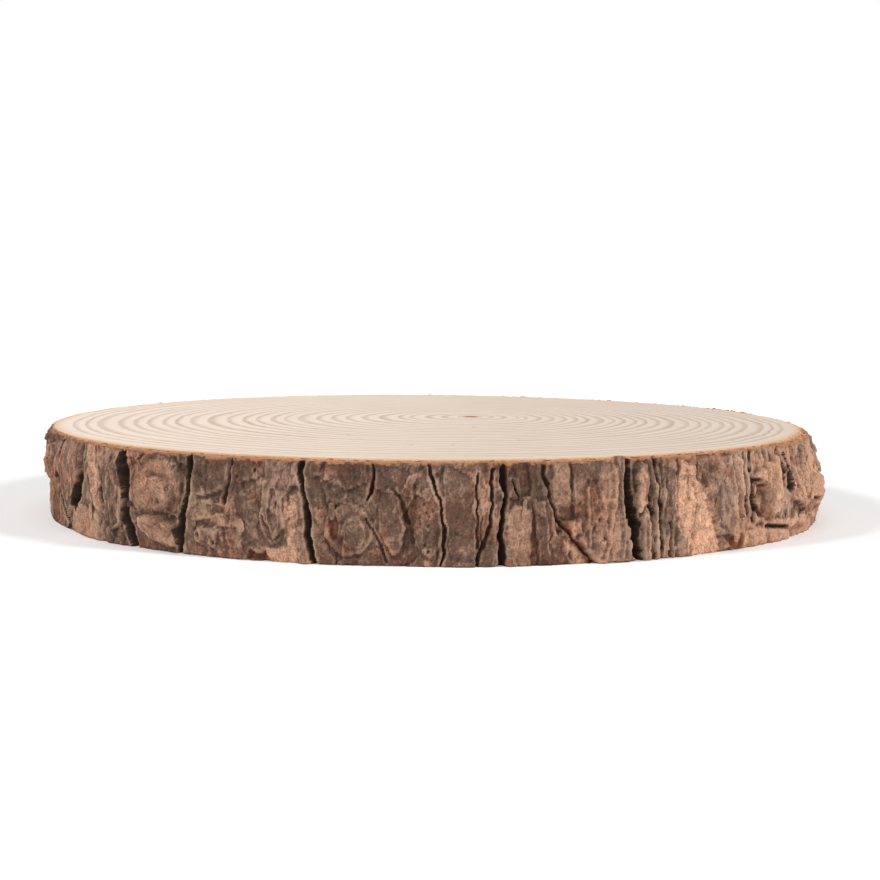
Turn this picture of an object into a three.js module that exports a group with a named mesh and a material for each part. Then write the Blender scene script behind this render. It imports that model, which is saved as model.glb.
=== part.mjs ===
// A slice of a softwood trunk with its bark still on, lying on its lower sawn face.
// Millimetres, +Z up. The origin is the middle of the underside of the bounding box.
// A bearing is an angle seen from above: 0 faces -Y, the front, and it grows towards +X.

import * as THREE from "three";
import { mergeVertices } from "three/addons/utils/BufferGeometryUtils.js";

const THICKNESS = 22;        // from one sawn face to the other
const RIM_RADIUS = 94;       // mean radius of the bark's edge at the upper face
const BARK_WIDTH = 2;        // sloping ring of inner bark outside the pale wood
const SHOULDER_DROP = 0.6;   // how far that ring falls below the upper face
const BARK_SWELL = 1.8;      // how far the bark stands out beyond its rim at mid-height
const PLATE_RELIEF = 0.7;    // how far neighbouring bark plates differ in height
const STEPS_AROUND = 240;
const SIDE_LEVELS = [0, 2.5, 6.5, 11, 15.5, 19];   // heights of the rows of points on the bark
const WOOD_COLOR = 0xe6d2b8;

// Slow departures from a circle: lobes around, share of the radius, bearing of one crest.
const OUTLINE_LOBES = [
  { lobes: 2, share: 0.046, crest: 51 },
  { lobes: 3, share: 0.01, crest: 78 },
];

// Bearings of the main furrows between bark plates, from the left end round by the front.
const FURROW_BEARINGS = [
  -70, -45, -34, -15, 10, 27, 48,
  77, 91, 107, 119, 135, 149, 165, 183, 196, 210, 228, 240, 256, 270,
];
const FURROW_DEPTH = 3;
const FURROW_HALF_WIDTH = 2.5;
const FURROW_VARIETY = 0.15;   // share by which furrows differ in depth and width
const FURROW_LEAN = 1.5;       // degrees by which a furrow's ends lie aside of its middle, at most

const radians = THREE.MathUtils.degToRad;

// Radius of the bark's rim at the upper face.
function rimRadius(bearing) {
  let share = 1;
  for (const { lobes, share: size, crest } of OUTLINE_LOBES) {
    share += size * Math.cos(lobes * (bearing - radians(crest)));
  }
  return RIM_RADIUS * share;
}

// Shortest way round from one bearing to another, in radians.
function turnBetween(from, to) {
  return Math.atan2(Math.sin(to - from), Math.cos(to - from));
}

// How far the bark stands out beyond the rim: its swell, its plates, less its furrows.
function barkRelief(bearing, height) {
  const level = height / THICKNESS;
  const swell = BARK_SWELL * Math.sin(Math.PI * (0.12 + 0.84 * level));
  const plates = PLATE_RELIEF * (0.6 * Math.sin(9 * bearing + 1) + 0.4 * Math.sin(23 * bearing + 3 * level));
  let furrows = 0;
  FURROW_BEARINGS.forEach((middle, i) => {
    const size = 1 + FURROW_VARIETY * Math.sin(2.4 * i);
    const lean = FURROW_LEAN * Math.sin(1.7 * i) * (1 - 2 * level);
    const away = turnBetween(radians(middle + lean), bearing) * RIM_RADIUS;
    furrows += FURROW_DEPTH * size * Math.exp(-((away / (FURROW_HALF_WIDTH * size)) ** 2));
  });
  const openness = THREE.MathUtils.smoothstep(THICKNESS - height, 0, 6) * 0.6 + 0.4;
  return swell + plates - furrows * openness;
}

// Half of the slice's section, from the middle of the underside to the middle of the upper face.
function sectionProfile() {
  const points = [new THREE.Vector2(0, 0)];
  for (const height of [...SIDE_LEVELS, THICKNESS - SHOULDER_DROP]) {
    points.push(new THREE.Vector2(RIM_RADIUS, height));
  }
  points.push(new THREE.Vector2(RIM_RADIUS - BARK_WIDTH, THICKNESS));
  points.push(new THREE.Vector2(0, THICKNESS));
  return points;
}

// The turned section, with every point moved to the slice's own outline and bark.
function sliceGeometry() {
  const geometry = new THREE.LatheGeometry(sectionProfile(), STEPS_AROUND);
  geometry.rotateX(Math.PI / 2);
  const position = geometry.getAttribute("position");
  const point = new THREE.Vector3();
  for (let i = 0; i < position.count; i += 1) {
    point.fromBufferAttribute(position, i);
    const bearing = Math.atan2(point.x, -point.y);
    const turnedRadius = Math.hypot(point.x, point.y);
    const onBark = turnedRadius > RIM_RADIUS - BARK_WIDTH / 2;
    const radius = onBark
      ? rimRadius(bearing) + barkRelief(bearing, point.z)
      : turnedRadius * rimRadius(bearing) / RIM_RADIUS;
    position.setXY(i, radius * Math.sin(bearing), -radius * Math.cos(bearing));
  }
  return geometry;
}

// One closed body with shared points, centred over the origin.
function closedAndCentred(geometry) {
  geometry.deleteAttribute("normal");
  geometry.deleteAttribute("uv");
  const merged = mergeVertices(geometry, 1e-4);
  merged.computeBoundingBox();
  const middle = merged.boundingBox.getCenter(new THREE.Vector3());
  merged.translate(-middle.x, -middle.y, 0);
  merged.computeVertexNormals();
  return merged;
}

const slice = new THREE.Mesh(
  closedAndCentred(sliceGeometry()),
  new THREE.MeshStandardMaterial({ color: WOOD_COLOR, roughness: 0.75, metalness: 0 }),
);
slice.name = "wood_slice";

const woodSlice = new THREE.Group();
woodSlice.add(slice);

export default woodSlice;
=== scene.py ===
"""A slice of a softwood trunk with its bark still on, laid out as an add-on and run as a script.

Lengths in the tables below are millimetres. A bearing is an angle in degrees about the middle of the wood,
seen from above: 0 faces the front (-Y) and it grows towards +X. A height is above the lower face.
"""

import math

import bpy
import numpy as np
from bpy.props import FloatProperty, FloatVectorProperty, IntProperty, PointerProperty
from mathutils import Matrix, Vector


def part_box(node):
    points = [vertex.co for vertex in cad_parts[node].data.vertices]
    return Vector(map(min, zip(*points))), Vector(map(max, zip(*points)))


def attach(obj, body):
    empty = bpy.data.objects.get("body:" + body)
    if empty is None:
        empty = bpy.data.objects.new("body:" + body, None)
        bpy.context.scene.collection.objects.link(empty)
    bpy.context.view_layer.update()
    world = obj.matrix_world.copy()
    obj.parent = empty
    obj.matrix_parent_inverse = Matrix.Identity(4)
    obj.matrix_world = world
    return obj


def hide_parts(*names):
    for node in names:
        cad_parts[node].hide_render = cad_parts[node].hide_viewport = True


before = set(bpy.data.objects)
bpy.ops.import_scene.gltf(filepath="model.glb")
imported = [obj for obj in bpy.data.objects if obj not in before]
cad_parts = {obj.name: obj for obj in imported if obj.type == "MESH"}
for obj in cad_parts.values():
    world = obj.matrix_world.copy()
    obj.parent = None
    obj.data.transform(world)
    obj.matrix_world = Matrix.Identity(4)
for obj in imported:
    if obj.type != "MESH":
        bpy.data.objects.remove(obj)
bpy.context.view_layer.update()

bl_info = {
    "name": "Wood Slice",
    "version": (1, 0, 0),
    "blender": (4, 5, 0),
    "location": "3D View > Sidebar > Wood Slice",
    "description": "Builds a sawn slice of a softwood trunk with its bark on",
    "category": "Object",
}

NODE = "wood_slice"
BODY = "root"
MM = 0.001
LOWEST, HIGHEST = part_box(NODE)
THICKNESS = (HIGHEST[2] - LOWEST[2]) / MM


# ---------------------------------------------------------------------------------------------------
# The trunk's outline, read from the CAD solid


def cad_wood_edge():
    """(axis x, axis y, bearings, radii) of the pale wood's edge on the CAD solid's upper face."""
    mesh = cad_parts[NODE].data
    points = np.empty(len(mesh.vertices) * 3)
    mesh.vertices.foreach_get("co", points)
    points = points.reshape(-1, 3) / MM
    upper = points[points[:, 2] > THICKNESS - 0.01][:, :2]
    upper = np.unique(upper.round(2), axis=0)
    reach = np.hypot(*(upper - upper.mean(axis=0)).T)
    edge = upper[reach > reach.max() / 2]
    axis = edge.mean(axis=0)
    away = edge - axis
    bearings = np.degrees(np.arctan2(away[:, 0], -away[:, 1]))
    order = np.argsort(bearings)
    return axis[0], axis[1], bearings[order], np.hypot(*away.T)[order]


AXIS_X, AXIS_Y, EDGE_BEARINGS, EDGE_RADII = cad_wood_edge()
MEAN_EDGE = float(EDGE_RADII.mean())


def wood_edge(bearing):
    """Radius of the pale wood's edge at a bearing in degrees."""
    return np.interp(bearing, EDGE_BEARINGS, EDGE_RADII, period=360)


# ---------------------------------------------------------------------------------------------------
# Noise and drawing on the unrolled bark. u runs round the trunk and v up it, both in millimetres.

BARK_RING = 2.0          # width of the inner bark on the upper face
BARK_RADIUS = MEAN_EDGE + BARK_RING
GIRTH = 2 * math.pi * BARK_RADIUS
NOISE_ROWS = 64


def around(bearing):
    """Distance round the trunk of a bearing in degrees."""
    return np.radians(bearing) * BARK_RADIUS


def smoothstep(low, high, value):
    """0 below low, 1 above high and a smooth rise between them."""
    t = np.clip((value - low) / (high - low), 0, 1)
    return t * t * (3 - 2 * t)


def ring_noise(seed, wide, tall, u, v):
    """Smooth noise from about -1 to 1, its features that wide and tall. It joins up round the trunk."""
    cells = max(3, round(GIRTH / wide))
    turns = np.random.default_rng(seed).uniform(0, 2 * math.pi, (NOISE_ROWS, cells))
    x = u * cells / GIRTH
    y = v / tall + NOISE_ROWS / 2
    left = np.floor(x).astype(int)
    low = np.floor(y).astype(int)
    fx, fy = x - left, y - low

    def corner(dx, dy):
        angle = turns[(low + dy) % NOISE_ROWS, (left + dx) % cells]
        return np.cos(angle) * (fx - dx) + np.sin(angle) * (fy - dy)

    sx = fx ** 3 * (fx * (fx * 6 - 15) + 10)
    sy = fy ** 3 * (fy * (fy * 6 - 15) + 10)
    lower = corner(0, 0) * (1 - sx) + corner(1, 0) * sx
    upper = corner(0, 1) * (1 - sx) + corner(1, 1) * sx
    return 1.5 * (lower * (1 - sy) + upper * sy)


def fractal(seed, wide, tall, u, v, octaves=4, gain=0.5):
    """Several octaves of ring_noise, each half the size of the one before."""
    total, strength = 0, 1.0
    for octave in range(octaves):
        total = total + strength * ring_noise(seed + octave, wide / 2 ** octave, tall / 2 ** octave, u, v)
        strength *= gain
    return total


def cell_plates(seed, wide, tall, u, v):
    """The level from about -1 to 1 of flat plates that lean a little each way."""
    cells = max(3, round(GIRTH / wide))
    draws = np.random.default_rng(seed).uniform(-1, 1, (5, NOISE_ROWS, cells))
    shift_u, shift_v, levels, lean_u, lean_v = draws
    x = u * cells / GIRTH
    y = v / tall + NOISE_ROWS / 2
    column, row = np.floor(x).astype(int), np.floor(y).astype(int)
    nearest = np.full(u.shape, 9.0)
    level = np.zeros(u.shape)
    for dy in (-1, 0, 1):
        for dx in (-1, 0, 1):
            cell = (row + dy) % NOISE_ROWS, (column + dx) % cells
            away_x = x - (column + dx + 0.5 + 0.42 * shift_u[cell])
            away_y = y - (row + dy + 0.5 + 0.42 * shift_v[cell])
            distance = np.hypot(away_x, away_y)
            closer = distance < nearest
            here = 0.7 * levels[cell] + 0.8 * (lean_u[cell] * away_x + lean_v[cell] * away_y)
            level = np.where(closer, here, level)
            nearest = np.where(closer, distance, nearest)
    return level


def wrapped(distance):
    """The shorter way round the trunk for a distance along its girth."""
    return (distance + GIRTH / 2) % GIRTH - GIRTH / 2


def along_line(points, u, v):
    """Distance from a line of (bearing, height, half-width) points, as a multiple of the half-width there."""
    nearest = np.full(u.shape, 1e9)
    for (b0, v0, w0), (b1, v1, w1) in zip(points, points[1:]):
        u0, du = around(b0), around(b1 - b0)
        dv = v1 - v0
        pu = wrapped(u - u0)
        t = np.clip((pu * du + (v - v0) * dv) / (du * du + dv * dv), 0, 1)
        distance = np.hypot(pu - t * du, v - v0 - t * dv)
        nearest = np.minimum(nearest, distance / (w0 + (w1 - w0) * t))
    return nearest


def inside_outline(outline, u, v):
    """Signed distance to a closed outline of (bearing, height) points, positive inside."""
    points = [(around(b), h) for b, h in outline]
    u0 = points[0][0]
    pu = wrapped(u - u0)
    nearest = np.full(u.shape, 1e9)
    inside = np.zeros(u.shape, bool)
    for (au, av), (bu, bv) in zip(points, points[1:] + points[:1]):
        au, bu = au - u0, bu - u0
        du, dv = bu - au, bv - av
        t = np.clip(((pu - au) * du + (v - av) * dv) / (du * du + dv * dv + 1e-9), 0, 1)
        nearest = np.minimum(nearest, np.hypot(pu - au - t * du, v - av - t * dv))
        crosses = (av > v) != (bv > v)
        inside ^= crosses & (pu < au + (v - av) * du / (dv if abs(dv) > 1e-9 else 1e-9))
    return np.where(inside, nearest, -nearest)


# ---------------------------------------------------------------------------------------------------
# The bark's own features

FACE_REACH = 0.5         # a plate's end this near a sawn face runs on past it


def streak(top, foot, width, high=THICKNESS, low=0.0, bow=0.0):
    """A line between two bearings and heights. It bows aside in the middle, strays and pinches a little."""
    points = []
    for step in range(8):
        share = step / 7
        passed = share * abs(high - low)
        stray = min(0.4 * width, 0.5) * math.sin(0.45 * passed + top) / around(1)
        bearing = top + (foot - top) * share + bow * math.sin(math.pi * share) + stray
        pinched = width * (0.85 + 0.25 * math.sin(0.4 * passed + 3 * top))
        points.append((bearing, high + (low - high) * share, pinched))
    return points


def arch(bearing, height, half_width, rise, width):
    """A line that arches over a place, or sags under it with a rise below 0. Its sizes are millimetres."""
    turns = [math.pi * step / 6 for step in range(7)]
    return [(bearing - half_width * math.cos(turn) / around(1), height + rise * math.sin(turn), width)
            for turn in turns]


def slab(left, right, high=THICKNESS, low=0.0, skew=0.0):
    """A plate with lopsided ends between two bearings and heights. The skew shifts its foot, in degrees."""
    cut = min(0.45 * (right - left) * around(1), 0.3 * (high - low))
    high = high + cut if high > THICKNESS - FACE_REACH else high
    low = low - cut if low < FACE_REACH else low
    crest = left + (right - left) * (0.5 + 0.35 * math.sin(5 * left))
    tip = left + skew + (right - left) * (0.5 + 0.35 * math.cos(7 * right))
    return [(left, high - cut), (crest, high), (right, high - 0.6 * cut),
            (right + skew, low + 0.7 * cut), (tip, low), (left + skew, low + cut)]


def leaf(bearing, height, half_width, half_height, turn=0.0, tips=0.0):
    """A rounded outline in millimetres round a place, turned by degrees. Its ends narrow to tips near 1."""
    outline = []
    for step in range(14):
        angle = 2 * math.pi * step / 14
        across = half_width * math.sin(angle) * abs(math.sin(angle)) ** tips
        up = half_height * math.cos(angle)
        cosine, sine = math.cos(math.radians(turn)), math.sin(math.radians(turn))
        aside = (across * cosine + up * sine) / around(1)
        outline.append((bearing + aside, height + up * cosine - across * sine))
    return outline


# Furrows and cracks: depth and line.
FURROWS = [
    (3.0, streak(-68, -69, 1.2, 21, 17)),
    (3.8, streak(-71, -66, 2.0, 12, 0)),
    (4.0, streak(-57, -61, 1.6, 14, 7)),
    (2.0, streak(-57, -57, 0.7, 22, 15)),
    (2.2, streak(-53, -50, 0.6, 22, 8)),
    (4.2, streak(-46, -44, 1.2)),
    (3.8, streak(-33, -35, 0.9, bow=0.5)),
    (1.8, streak(-26, -27, 0.4, 21, 12)),
    (3.2, streak(-16, -14, 0.8)),
    (1.6, streak(-6.5, -7, 0.3, 22, 14, bow=0.7)),
    (0.7, streak(-7, -4.5, 0.3, 10, 1)),
    (1.5, streak(0.5, 2.5, 0.35, bow=1.2)),
    (1.5, streak(9, 7, 0.4, 20, 0, bow=0.5)),
    (1.0, streak(7, 7, 0.3, 19, 4)),
    (2.6, streak(10.5, 10, 0.6)),
    (1.3, streak(11.5, 12, 0.3, 18, 14)),
    (1.3, streak(15, 17, 0.5, 22, 9)),
    (1.6, streak(17.5, 22, 0.4, 9, 0)),
    (4.6, streak(26.5, 26.7, 0.9, 22, 10)),
    (4.4, streak(27.2, 28.2, 1.0, 10.5, 0)),
    (2.2, streak(29.5, 30, 0.35, 17, 2)),
    (3.0, streak(30.5, 31.5, 0.5)),
    (2.0, streak(32.5, 33, 0.4, 9, 0)),
    (1.2, streak(34, 34, 0.3, 22, 6)),
    (1.0, streak(43, 45, 0.3, 21, 3)),
    (2.8, streak(45.5, 46.5, 0.55, 21, 6)),
    (3.8, streak(47, 48, 0.8, 21, 6)),
    (3.0, streak(48.5, 50, 1.1, 14, 7)),
    (2.2, streak(51, 57, 0.5, 4, 2.5)),
    (4.0, streak(56, 57, 1.2, 19, 12)),
    (2.0, streak(64, 73, 0.6, 8, 6)),
]


def right_end_cracks():
    """Cracks between the strips of the right end, shallow and deep by turns."""
    rows = []
    for place in range(6):
        deep = place % 2
        middle = 50 + 4.3 * place
        line = streak(middle, middle + 0.5, 0.4 + 0.3 * deep, 21, 9 - 3 * deep)
        rows.append((1.8 + 1.2 * deep, line))
    return rows


FURROWS += right_end_cracks()

# Furrows of the sides and back, which differ by turns. Some stop short, and lesser ones lie between some.
BACK_FURROWS = [77, 91, 107, 119, 135, 149, 165, 183, 196, 210, 228, 240, 256, 270]


def back_furrows():
    """Furrows round the back of differing size and lean, with a short crack beside every other one."""
    rows = []
    for place, middle in enumerate(BACK_FURROWS):
        size = 1 + 0.25 * math.sin(2.4 * place)
        lean = 2 * math.sin(1.7 * place)
        high = 18 if place % 5 == 1 else THICKNESS
        low = 4 if place % 3 == 1 else 0
        line = streak(middle - lean, middle + lean, 1.1 * size, high, low, bow=lean / 2)
        rows.append((3.0 * size, line))
        if place % 2:
            rows.append((1.9, streak(middle + 6, middle + 7, 0.6, 12 + 5 * math.sin(place), 0)))
    return rows


FURROWS += back_furrows()

# Raised lines: rise and line.
RIDGES = [
    (0.9, streak(-56, -51.5, 0.9, 21, 7)),
    (0.6, streak(-52, -50, 0.6, 20, 4)),
    (0.5, streak(-49, -48, 0.7, 21, 2)),
    (0.8, arch(-38.4, 11.5, 4.7, 4.8, 0.4)),
    (0.6, arch(-40.5, 6, 2.6, 4, 0.3)),
    (0.6, arch(-36.5, 6, 3.6, 3, 0.3)),
    (0.8, streak(-32, -27, 0.6, 8, 9.5)),
    (0.5, streak(-30.5, -27.5, 0.5, 12, 11.5)),
    (0.4, arch(-19.8, 11, 3, -7, 0.55)),
    (0.8, streak(24.5, 23, 0.8, 21, 0, bow=0.5)),
    (0.5, streak(21, 21, 0.8, 18, 4)),
    (0.7, streak(35.5, 36, 0.45, 20, 0, bow=1.5)),
]
RIDGES += [(0.7, streak(middle, middle + 0.5, 0.6, 20, 8)) for middle in (48.8, 52, 55, 60)]

# Shapes that both stand out from the bark about them and differ from it in colour.
BOSS = leaf(-38.4, 12.5, 4.4, 3.8, turn=20)
HANGING_FLAKE = leaf(-38, 4.6, 6.5, 3.2, turn=15)
FALLEN_STRIP = slab(-18, -16.5, 14, 0)
BROKEN_HEM = [(-23.8, 0), (-23.2, 2.4), (-22.2, 1.6), (-21, 2.2), (-20, 0)]
CURLED_LEAF = leaf(-3.8, 9.5, 2.8, 7.2, turn=-6, tips=0.4)
TORN_WEDGE = [(18.4, 5.4), (22, 0), (19, 0)]
WORN_FACE = [(35, 21.5), (38, 15.5), (41.5, 0), (36, 0), (34, 7), (33.5, 16)]
WORN_CORNER = [(41.5, 3.6), (43.5, 3), (45.3, 3.4), (45.6, 0.5), (44, 0)]
RIGHT_STRIPS = slab(48, 55, 20, 6)

# Flakes that stand up (rise over 0) or have fallen off (under 0): rise, how much more it rises to the right
# and to the top, then the outline.
FLAKES = [
    (1.6, 0.0, -0.1, [(-70, 22), (-58, 22), (-58, 14), (-64, 3), (-70, 13)]),
    (0.8, 0.3, -0.2, slab(-52, -46, 22, 3, skew=1)),
    (0.6, 0.0, 0.5, slab(-50, -46, 5, 0)),
    (0.5, -0.3, 0.0, slab(-63, -52, 8, 0)),
    (0.9, -0.2, 0.2, leaf(-39, 14, 8, 8)),
    (2.4, 0.0, 0.8, BOSS),
    (2.2, 0.2, 0.7, HANGING_FLAKE),
    (-0.6, 0.4, -0.6, leaf(-36.5, 5, 1.8, 2)),
    (-0.8, 0.0, 0.0, [(-39.5, 22), (-33.5, 22), (-34, 17)]),
    (0.7, 0.0, 0.4, slab(-36.5, -35, 22, 18)),
    (1.1, -0.2, -0.3, slab(-32, -26.5, 22, 13)),
    (1.0, 0.0, 0.7, slab(-32, -28, 7, 1.5)),
    (0.5, 0.0, 0.5, slab(-29.5, -27, 7, 1)),
    (0.5, 0.0, -0.4, slab(-25.5, -22, 22, 16)),
    (0.3, 0.2, 0.0, slab(-27, -22, 15, 2)),
    (0.8, 0.0, -0.4, [(-21, 22), (-16.5, 22), (-16.5, 17), (-18.5, 13), (-18, 8), (-19.5, 4.5), (-21.5, 10)]),
    (-0.7, 0.0, 0.3, leaf(-19.8, 11, 1, 5)),
    (-0.6, 0.0, 0.0, FALLEN_STRIP),
    (-1.4, 0.0, 0.0, BROKEN_HEM),
    (0.9, 0.0, -0.2, slab(-16.5, -15, 13, 0, skew=0.5)),
    (1.1, 0.2, 0.5, slab(-14.5, -13, 22, 18)),
    (0.7, -0.2, -0.2, slab(-12.5, -7, 22, 16)),
    (0.7, 0.0, 0.4, leaf(-11, 15.5, 2.6, 2.6)),
    (1.1, -0.4, -0.3, leaf(-9.3, 7.5, 5.2, 5.5)),
    (-0.9, 0.0, 0.2, leaf(-11.2, 8, 1.1, 3)),
    (0.8, 0.1, 0.4, leaf(-8.6, 7, 2.6, 3.4)),
    (1.9, 0.4, -0.3, CURLED_LEAF),
    (-0.8, 0.6, 0.0, leaf(-2.6, 12.6, 0.9, 4.6, turn=-26, tips=0.3)),
    (0.6, -0.4, 0.0, slab(-6, 0, 22, 14)),
    (0.5, 0.0, 0.0, slab(-1, 2.5, 12, 2)),
    (0.7, -0.1, 0.0, slab(3, 8, 22, 0, skew=-1)),
    (1.0, -0.3, 0.0, slab(7.5, 8.6, 20, 5)),
    (0.6, 0.3, 0.0, slab(7.5, 9.5, 14, 0)),
    (-0.9, 0.7, 0.0, slab(9, 10.2)),
    (1.4, 0.0, 0.2, slab(11, 12.4, 19, 14)),
    (1.0, -0.1, 0.0, slab(10.8, 13.8, 13, 0)),
    (0.9, -0.2, 0.0, slab(13.4, 15, 22, 0, skew=1.5)),
    (0.7, 0.0, 0.4, slab(16.5, 18.7, 22, 12)),
    (-1.2, 0.0, 0.0, leaf(17.5, 8.5, 1, 2)),
    (0.8, 0.0, 0.3, slab(18, 20, 10, 5.5)),
    (-0.8, 0.0, 0.0, TORN_WEDGE),
    (1.2, 0.3, 0.0, [(19, 22), (25.7, 22), (25.7, 11), (27, 4), (27, 0), (22.5, 0), (20, 4), (19, 12)]),
    (1.9, -0.3, 0.1, slab(27.6, 29.3, 21, 11)),
    (1.2, -0.2, 0.0, slab(28.3, 29.5, 10.5, 0, skew=0.4)),
    (1.1, 0.0, 0.0, slab(30, 31, 16.5, 0, skew=0.4)),
    (0.8, 0.0, 0.0, slab(31.5, 33.5)),
    (-0.4, 0.0, 0.0, WORN_FACE),
    (0.8, 0.2, 0.2, slab(34, 35.7, 6, 0)),
    (1.0, 0.2, 0.0, [(36.5, 21.5), (43, 21), (44.5, 16), (45, 3.5), (40.5, 4), (38.2, 16)]),
    (-0.9, 0.0, 0.0, WORN_CORNER),
    (0.6, 0.0, 0.0, slab(43.6, 45.2, 21, 2, skew=0.8)),
    (1.4, 0.1, 0.1, RIGHT_STRIPS),
    (0.7, 0.0, -0.2, slab(47, 56, 5.5, 0)),
    (-3.8, -0.2, 0.1, leaf(49.8, 10, 2.6, 4.6, turn=-15, tips=0.3)),
    (1.5, 0.2, -0.1, slab(57.7, 62, 19, 5.6)),
    (-0.6, 0.0, 0.0, slab(56.6, 62.6, 3, 0)),
    (1.3, 0.0, 0.2, slab(63.3, 67.3, 20, 5)),
    (1.6, 0.2, 0.0, slab(64, 75, 14, 3)),
    (0.8, 0.0, 0.4, slab(69, 75.5, 21, 15)),
]

FLAKE_SCALE = 0.75

# How far the bark bulges at the slice's right end, at shares of its height.
RIGHT_TIP_LEVELS = [0, 0.1, 0.22, 0.35, 0.55, 0.8, 1]
RIGHT_TIP_BULGE = [0.6, 0.5, 0.4, 1.4, 0.3, -1.4, -1.9]

# Pits: bearing, height, radius and depth. A row of them runs down the middle plate.
PITS = [(0.8 + 0.4 * math.sin(3 * i), 12.5 - 1.7 * i, 0.35, 0.5 + 0.1 * (i % 3)) for i in range(6)]
PITS += [
    (22, 9, 0.4, 0.9), (22.5, 5, 0.4, 0.8), (57, 5, 0.7, 1.6), (-22, 19, 0.5, 0.8), (-25, 17, 0.4, 0.7),
    (-37.5, 11, 0.6, 0.8), (-31, 5, 0.6, 0.9), (-28, 3, 0.5, 0.9), (52, 9, 0.5, 1.2), (59.5, 12, 0.5, 1.0),
]

# Stretches of bark worn or broken down to a paler, grainy layer, and rusty ones: strength and outline.
TAN_PATCHES = [
    (1.0, WORN_FACE),
    (0.8, FALLEN_STRIP),
    (0.8, slab(-21, -16.5, 3.5, 0)),
    (0.75, slab(-56.5, -54.5, 22, 7, skew=4)),
    (0.4, slab(16.5, 18.7, 22, 12)),
    (0.75, TORN_WEDGE),
    (0.6, slab(18, 20, 10, 5.5)),
    (0.35, slab(10.8, 13.5, 13, 0)),
    (0.6, RIGHT_STRIPS),
    (0.55, slab(46, 68, 5, 0)),
    (0.5, slab(58, 78, 20, 4)),
    (0.6, slab(27.7, 28.7, 20, 11)),
    (0.35, slab(43.5, 45.5, 21, 3)),
    (0.4, HANGING_FLAKE),
    (0.35, leaf(-39, 14, 7, 6)),
    (0.5, slab(-32, -27, 9.8, 7.4)),
    (0.3, slab(-63, -51, 8, 0)),
    (0.3, slab(22.5, 25, 21, 0)),
    (0.8, slab(120, 126, 20, 4)),
    (0.7, slab(168, 176, 21, 2)),
    (0.7, slab(-146, -139, 20, 2)),
    (0.6, slab(-97, -92, 21, 4)),
]
RUST_PATCHES = [
    (0.5, slab(-43, -40, 2, 0)),
    (0.3, slab(-35.4, -34, 13, 10)),
    (0.3, slab(-23.5, -21.5, 15, 11)),
    (0.6, BROKEN_HEM),
    (0.45, leaf(-11.2, 8, 1, 3)),
    (0.6, leaf(-4.6, 7, 1, 1.3)),
    (0.8, slab(10, 11.3, 22, 19)),
    (0.8, slab(10, 11.3, 2, 0)),
    (0.9, slab(17.7, 18.6, 9, 0, skew=3.4)),
    (0.6, slab(41.3, 43, 19, 15.5)),
    (0.75, WORN_CORNER),
    (0.7, slab(57, 62.5, 3, 1)),
    (0.5, slab(49.5, 51.3, 8, 5.7)),
    (0.4, slab(43.7, 44.7, 14, 4, skew=0.6)),
    (0.35, slab(7, 9.6, 11, 4)),
    (0.7, slab(100, 104, 5, 0)),
    (0.8, slab(143, 147, 16, 9)),
    (0.7, slab(-161, -156, 5, 0)),
    (0.7, slab(-122, -118, 14, 8)),
]


def line_depths(lines, seed, inner, outer, u, v):
    """The strongest of some lines at each point. Their ragged sides stray more away from the front."""
    bearing = np.degrees(u / BARK_RADIUS)
    stray = 1 - smoothstep(-84, -74, bearing) * smoothstep(90, 80, bearing)
    wander_u = u + 0.4 * ring_noise(seed, 5, 4, u, v) + 0.36 * ring_noise(seed + 1, 1.7, 1.8, u, v)
    wild = 2.6 * ring_noise(seed + 2, 13, 9, u, v) + 0.7 * ring_noise(seed + 3, 3, 3.4, u, v)
    wander_u = wander_u + stray * wild
    width = 1 + stray * 0.8 * ring_noise(seed + 4, 9, 7, u, v)
    strongest = np.zeros(u.shape)
    for strength, points in lines:
        apart = along_line(points, wander_u, v) / width
        strongest = np.maximum(strongest, strength * (1 - smoothstep(inner, outer, apart)))
    return strongest


def flake_relief(flakes, u, v):
    """Flakes with wandering, sharp edges. Each leans as its row says."""
    wander_u = u + 0.4 * ring_noise(21, 3, 3, u, v) + 0.2 * ring_noise(23, 1.1, 1.1, u, v)
    wander_v = v + 0.4 * ring_noise(22, 3, 3, u, v) + 0.2 * ring_noise(24, 1.1, 1.1, u, v)
    relief = np.zeros(u.shape)
    for rise, lean_right, lean_up, outline in flakes:
        bearings, heights = np.array(outline).T
        middle_u = around((bearings.min() + bearings.max()) / 2)
        middle_v = (heights.min() + heights.max()) / 2
        half_u = around(bearings.max() - bearings.min()) / 2
        half_v = (heights.max() - heights.min()) / 2
        near = np.abs(wrapped(u[0] - middle_u)) < half_u + 2
        pu, pv = wander_u[:, near], wander_v[:, near]
        inward = inside_outline(outline, pu, pv)
        lean = 1 + lean_right * wrapped(pu - middle_u) / half_u + lean_up * (pv - middle_v) / half_v
        relief[:, near] += FLAKE_SCALE * rise * lean * smoothstep(-0.12, 0.22, inward)
    return relief


def patch_mask(patches, seed, u, v):
    """0 to 1: how strongly any of the patches covers each point, with broken edges."""
    wander_u = u + 0.8 * fractal(seed, 3, 3, u, v, 3)
    wander_v = v + 0.8 * fractal(seed + 5, 3, 3, u, v, 3)
    mask = np.zeros(u.shape)
    for strength, outline in patches:
        mask = np.maximum(mask, strength * smoothstep(-0.3, 0.3, inside_outline(outline, wander_u, wander_v)))
    return mask


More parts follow.
